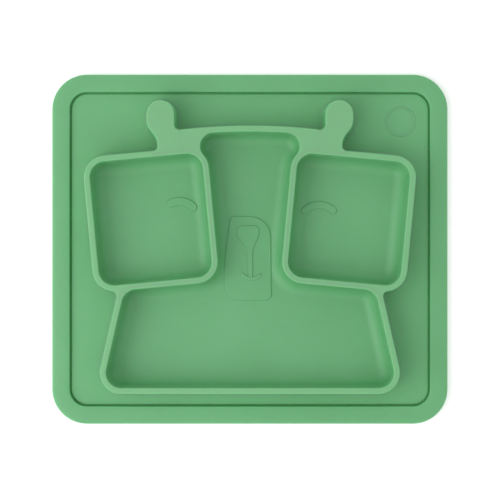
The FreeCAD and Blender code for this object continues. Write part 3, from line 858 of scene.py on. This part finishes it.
class PLATE_OT_eyelids(bpy.types.Operator):
    """Closed eyelids in low relief on the square bowls' floors"""

    bl_idname = "plate.eyelids"
    bl_label = "Eyelids"

    def execute(self, context):
        s, f = context.scene.plate_walls, context.scene.plate_face
        left_bowl = Plan(s).square[0]
        for side, outline in (("left", left_bowl), ("right", mirror(left_bowl)[::-1])):
            x, y, radius, width, span, turn = (
                getattr(f, "%s_%s" % (side, name))
                for name in ("x", "y", "radius", "band", "span", "turn")
            )

            def base(points):
                return floor_height(s, outline, s.fillet, points)

            band = bent_band(x, y, radius, width, span, turn)
            shape = relief(band, f.rise, f.soft, base, width * 0.49)
            shape.piece("eyelid_" + side, ROOT, [side + "_eyelid"])
        return {"FINISHED"}


class PLATE_OT_muzzle(bpy.types.Operator):
    """Muzzle panel, nose with its strip, and mouth"""

    bl_idname = "plate.muzzle"
    bl_label = "Muzzle"

    def execute(self, context):
        s, f = context.scene.plate_walls, context.scene.plate_face
        outline = Plan(s).main[0]

        def floor(points):
            return floor_height(s, outline, s.fillet, points)

        def panel(points):
            return floor(points) + f.rise

        muzzle = belt(0.001 * MUZZLE, chord=0.001, run=0.0015)
        relief(muzzle, f.rise, f.soft, floor, 0.0025, rings=9).piece(
            "muzzle", ROOT, ["muzzle_panel"]
        )
        nose = belt(0.001 * NOSE, chord=0.0005)
        relief(nose, f.rise, f.soft * 0.7, panel, 0.0009).piece(
            "nose_strip", ROOT, ["nose"]
        )
        mouth = bent_band(
            f.mouth_x, f.mouth_y, f.mouth_radius, f.mouth_band, f.mouth_span, f.mouth_turn
        )
        relief(mouth, 1.08 * f.rise, f.soft * 0.7, panel, f.mouth_band * 0.49).piece(
            "mouth", ROOT, ["smile"]
        )
        return {"FINISHED"}


class PLATE_OT_badge(bpy.types.Operator):
    """Plain blank ring near the far right corner"""

    bl_idname = "plate.badge"
    bl_label = "Blank badge"

    def execute(self, context):
        s = context.scene.plate_mat
        low, high = BADGE_LOW, BADGE_HIGH
        outer = (high.x - low.x) / 2
        inner = outer - s.badge_band
        soft = (high.z - low.z) * 0.9
        section = np.concatenate(
            [
                [(outer, low.z - SINK)],
                rounded_corner((outer - soft, high.z - soft), soft, 0, 90, 5),
                rounded_corner((inner + soft, high.z - soft), soft, 90, 180, 5),
                [(inner, low.z - SINK)],
            ]
        )
        x, y = (low.x + high.x) / 2, (low.y + high.y) / 2
        shape = Shape()
        shape.strip(turned(section[::-1], x, y), round_section=True)
        shape.piece("badge_ring", ROOT, ["blank_badge"])
        return {"FINISHED"}


class PLATE_OT_suction_cups(bpy.types.Operator):
    """Four suction cups: a thin dome and a gripping lip each"""

    bl_idname = "plate.suction_cups"
    bl_label = "Suction cups"

    def execute(self, context):
        s = context.scene.plate_mat
        for cup in CUPS:
            low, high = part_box("suction_lip_" + cup)
            x, y = (low.x + high.x) / 2, (low.y + high.y) / 2
            outer = (high.x - low.x) / 2
            inner = outer - s.lip_width
            soft = 0.0003
            section = np.concatenate(
                [
                    rounded_corner((outer - soft, low.z + soft), soft, -90, 0, 4),
                    rounded_corner((outer - soft, high.z - soft), soft, 0, 90, 4),
                    rounded_corner((inner + soft, high.z - soft), soft, 90, 180, 4),
                    rounded_corner((inner + soft, low.z + soft), soft, 180, 270, 4),
                ]
            )
            lip = Shape()
            lip.strip(turned(section[::-1], x, y), round_section=True)
            lip.piece("cup_lip_" + cup, "suction_" + cup, ["suction_lip_" + cup])

            dome_low, dome_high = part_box("suction_dome_" + cup)
            edge = (dome_high.x - dome_low.x) / 2
            top, bottom = dome_high.z, dome_low.z
            # Both faces of the skin fall from the hub to the lip as a half cosine.
            # The root is twice as thick as the skin; a small disc closes each pole.
            root, pole, overlap = 2 * s.skin, 0.0006, 0.0004
            share = np.linspace(0, 1, 15)
            fall = (1 - np.cos(math.pi * share)) / 2
            radius = s.hub + (edge - s.hub) * share
            upper = top - (top - bottom - s.skin * 0.4) * fall
            lower = top - root - (top - root - bottom) * fall
            lower_radius = s.hub + (inner + overlap - s.hub) * share
            section = np.concatenate(
                [
                    [(pole, top)],
                    np.stack([radius, upper], -1),
                    [(edge, bottom)],
                    np.stack([lower_radius, lower], -1)[::-1],
                    [(pole, top - root)],
                ]
            )
            dome = Shape()
            grid = dome.strip(turned(section, x, y))
            dome.cap([grid[:, 0]])
            dome.cap([grid[:, -1]], upward=False)
            piece = dome.piece("cup_dome_" + cup, ROOT, ["suction_dome_" + cup])
            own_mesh(piece)
        return {"FINISHED"}


class PLATE_OT_stage(bpy.types.Operator):
    """Pale floor, soft studio light and the camera straight above"""

    bl_idname = "plate.stage"
    bl_label = "Stage"

    def execute(self, context):
        look = context.scene.plate_stage
        scene = context.scene
        scene.view_settings.view_transform = "Standard"

        half, lamp_side, lamp_place = 2.5, 1.4, (-1.0, -0.4, 1.2)
        camera_x, camera_y = 0.00007, -0.00055
        mesh = bpy.data.meshes.new("floor")
        corners = [(-half, -half, 0), (half, -half, 0), (half, half, 0), (-half, half, 0)]
        mesh.from_pydata(corners, [], [(0, 1, 2, 3)])
        material = bpy.data.materials.new("pale_floor")
        material.use_nodes = True
        shader = material.node_tree.nodes["Principled BSDF"]
        shader.inputs["Base Color"].default_value = (*look.floor, 1.0)
        shader.inputs["Roughness"].default_value = 0.9
        shader.inputs["Specular IOR Level"].default_value = 0.1
        shader.inputs["Emission Color"].default_value = (1.0, 1.0, 1.0, 1.0)
        shader.inputs["Emission Strength"].default_value = look.glow
        mesh.materials.append(material)
        floor = bpy.data.objects.new("floor", mesh)
        scene.collection.objects.link(floor)

        world = bpy.data.worlds.new("soft_sky")
        world.use_nodes = True
        sky = world.node_tree.nodes["Background"]
        sky.inputs["Color"].default_value = (1.0, 1.0, 1.0, 1.0)
        sky.inputs["Strength"].default_value = look.sky
        scene.world = world

        middle = Vector((0.0, 0.0, BORDER_HIGH.z))
        lamp = bpy.data.lights.new("key_light", "AREA")
        lamp.shape = "RECTANGLE"
        lamp.size, lamp.size_y = lamp_side, lamp_side
        lamp.energy = look.key
        key = bpy.data.objects.new("key_light", lamp)
        key.location = lamp_place
        key.rotation_euler = (middle - key.location).to_track_quat("-Z", "Y").to_euler()
        scene.collection.objects.link(key)

        data = bpy.data.cameras.new("camera")
        data.sensor_width = 36.0
        data.lens = data.sensor_width * look.distance / look.view_width
        camera = bpy.data.objects.new("camera", data)
        camera.location = (camera_x, camera_y, BORDER_HIGH.z + look.distance)
        scene.collection.objects.link(camera)
        scene.camera = camera
        return {"FINISHED"}


class PLATE_PT_panel(bpy.types.Panel):
    """Sizes, finish and pieces of the plate"""

    bl_idname = "PLATE_PT_panel"
    bl_label = "Divided suction plate"
    bl_space_type = "VIEW_3D"
    bl_region_type = "UI"
    bl_category = "Plate"

    def draw(self, context):
        for piece in PIECES:
            self.layout.operator(piece.bl_idname)
        for group in GROUPS:
            box = self.layout.box()
            settings = getattr(context.scene, group)
            for name in settings.bl_rna.properties.keys():
                if name not in ("rna_type", "name"):
                    box.prop(settings, name)


PIECES = (
    PLATE_OT_sheet,
    PLATE_OT_border,
    PLATE_OT_square_bowls,
    PLATE_OT_main_bowl,
    PLATE_OT_knobs,
    PLATE_OT_eyelids,
    PLATE_OT_muzzle,
    PLATE_OT_badge,
    PLATE_OT_suction_cups,
    PLATE_OT_stage,
)
GROUPS = {
    "plate_walls": PlateWalls,
    "plate_mat": PlateMat,
    "plate_face": PlateFace,
    "plate_finish": PlateFinish,
    "plate_stage": PlateStage,
}


def register():
    """Register the settings, the pieces and the panel."""
    for name, group in GROUPS.items():
        bpy.utils.register_class(group)
        setattr(bpy.types.Scene, name, PointerProperty(type=group))
    for piece in PIECES:
        bpy.utils.register_class(piece)
    bpy.utils.register_class(PLATE_PT_panel)


def unregister():
    """Take everything out again, last in first."""
    bpy.utils.unregister_class(PLATE_PT_panel)
    for piece in reversed(PIECES):
        bpy.utils.unregister_class(piece)
    for name, group in reversed(GROUPS.items()):
        delattr(bpy.types.Scene, name)
        bpy.utils.unregister_class(group)


def main():
    """Build every piece and the stage."""
    register()
    for piece in PIECES:
        getattr(bpy.ops.plate, piece.bl_idname.split(".")[1])()


if __name__ == "__main__":
    main()
